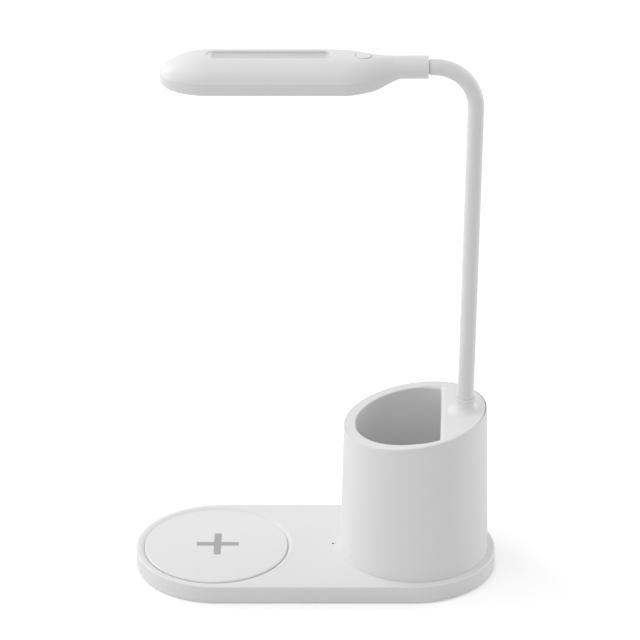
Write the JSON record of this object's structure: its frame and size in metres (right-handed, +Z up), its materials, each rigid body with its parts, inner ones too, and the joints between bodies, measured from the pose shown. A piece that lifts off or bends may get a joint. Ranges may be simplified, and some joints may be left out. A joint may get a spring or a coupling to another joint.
{
  "type": "desk lamp",
  "caption": "White gooseneck desk lamp with a long flat head, on a low stadium base with a round wireless charging pad and a slanted pen cup.",
  "frame": {"origin": "on the table, under the middle of the base", "axes": "+Z up, +X from the charging pad to the pen cup, -Y is the front"},
  "size_m": [0.24, 0.1106, 0.3633],
  "materials": {
    "white_shell": "fine satin moulded white plastic",
    "pad_plastic": "satin white plastic",
    "mark_grey": "matt grey inlay",
    "floor_plastic": "textured white plastic",
    "foot_rubber": "matt grey rubber",
    "screw_steel": "zinc-plated steel",
    "ballast_iron": "bare iron",
    "coil_copper": "enamelled copper",
    "ferrite": "dark grey ferrite sheet",
    "board_green": "solder mask",
    "port_steel": "nickel-plated shell",
    "light_pipe": "clear plastic over a dark hole",
    "neck_silicone": "matt white silicone",
    "neck_steel": "wound steel tube",
    "diffuser_opal": "opal plastic",
    "tray_white": "bright white reflector",
    "board_aluminium": "white solder mask on aluminium",
    "led_phosphor": "yellow phosphor under clear resin",
    "button_white": "satin white plastic",
    "switch_black": "black plastic",
    "lead_grey": "grey sheathed lead"
  },
  "bodies": {
    "base": {"base_top_cover": "white_shell", "base_bottom_cover": "floor_plastic", "counterweight": "ballast_iron", "rubber_feet": "foot_rubber", "base_screws": "screw_steel", "charging_pad": "pad_plastic", "plus_mark": "mark_grey", "charging_coil": "coil_copper", "ferrite_shield": "ferrite", "charger_board": "board_green", "usb_c_socket": "port_steel", "status_light_pipe": "light_pipe", "cup_shell": "white_shell", "cup_liner": "white_shell", "cup_screws": "screw_steel", "neck_ferrule": "screw_steel", "neck_nut": "screw_steel", "base_lead": "lead_grey", "neck_sleeve_0": "neck_silicone", "neck_core_0": "neck_steel"},
    "link_1": {"neck_sleeve_1": "neck_silicone", "neck_core_1": "neck_steel"},
    "link_2": {"neck_sleeve_2": "neck_silicone", "neck_core_2": "neck_steel"},
    "link_3": {"neck_sleeve_3": "neck_silicone", "neck_core_3": "neck_steel"},
    "link_4": {"neck_sleeve_4": "neck_silicone", "neck_core_4": "neck_steel"},
    "link_5": {"neck_sleeve_5": "neck_silicone", "neck_core_5": "neck_steel"},
    "link_6": {"neck_sleeve_6": "neck_silicone", "neck_core_6": "neck_steel"},
    "link_7": {"neck_sleeve_7": "neck_silicone", "neck_core_7": "neck_steel"},
    "link_8": {"neck_sleeve_8": "neck_silicone", "neck_core_8": "neck_steel"},
    "link_9": {"neck_sleeve_9": "neck_silicone", "neck_core_9": "neck_steel"},
    "head": {"head_top_shell": "white_shell", "head_lower_frame": "white_shell", "diffuser": "diffuser_opal", "reflector_tray": "tray_white", "led_board": "board_aluminium", "leds": "led_phosphor", "button_switch": "switch_black", "switch_board": "board_green", "neck_collar": "screw_steel", "head_screws": "screw_steel", "head_lead": "lead_grey", "neck_sleeve_10": "neck_silicone", "neck_core_10": "neck_steel"},
    "button": {"power_button": "button_white"}
  },
  "joints": [
    {"name": "lean_lower", "type": "hinge", "parent": "base", "child": "link_1", "pos_m": [0.09863, 0, 0.15417], "axis": [0, 1, 0], "range_deg": [-16, 15]},
    {"name": "sway_lower", "type": "hinge", "parent": "link_1", "child": "link_2", "pos_m": [0.09907, 0, 0.19374], "axis": [1, 0, 0], "range_deg": [-18, 18]},
    {"name": "lean_middle", "type": "hinge", "parent": "link_2", "child": "link_3", "pos_m": [0.0995, 0, 0.23332], "axis": [0, 1, 0], "range_deg": [-16, 15]},
    {"name": "sway_upper", "type": "hinge", "parent": "link_3", "child": "link_4", "pos_m": [0.09993, 0, 0.27289], "axis": [1, 0, 0], "range_deg": [-18, 18]},
    {"name": "lean_upper", "type": "hinge", "parent": "link_4", "child": "link_5", "pos_m": [0.10037, 0, 0.31246], "axis": [0, 1, 0], "range_deg": [-16, 15]},
    {"name": "tilt_1", "type": "hinge", "parent": "link_5", "child": "link_6", "pos_m": [0.10059, 0, 0.33217], "axis": [0, 1, 0], "range_deg": [-9, 14]},
    {"name": "tilt_2", "type": "hinge", "parent": "link_6", "child": "link_7", "pos_m": [0.09806, 0, 0.3402], "axis": [0, 1, 0], "range_deg": [-9, 14]},
    {"name": "tilt_3", "type": "hinge", "parent": "link_7", "child": "link_8", "pos_m": [0.09315, 0, 0.34705], "axis": [0, 1, 0], "range_deg": [-9, 14]},
    {"name": "tilt_4", "type": "hinge", "parent": "link_8", "child": "link_9", "pos_m": [0.08636, 0, 0.35203], "axis": [0, 1, 0], "range_deg": [-9, 14]},
    {"name": "head_swing", "type": "hinge", "parent": "link_9", "child": "head", "pos_m": [0.07835, 0, 0.35465], "axis": [0, 0, 1], "range_deg": [-25, 25]},
    {"name": "button_press", "type": "slide", "parent": "head", "child": "button", "axis": [0, 0, -1], "range_m": [0, 0.0004], "stiffness_N_per_m": 1000}
  ],
  "couplings": [
    {"joint": "lean_middle", "follows": "lean_lower", "ratio": 1},
    {"joint": "lean_upper", "follows": "lean_lower", "ratio": 1},
    {"joint": "sway_upper", "follows": "sway_lower", "ratio": 1},
    {"joint": "tilt_2", "follows": "tilt_1", "ratio": 1},
    {"joint": "tilt_3", "follows": "tilt_1", "ratio": 1},
    {"joint": "tilt_4", "follows": "tilt_1", "ratio": 1}
  ]
}
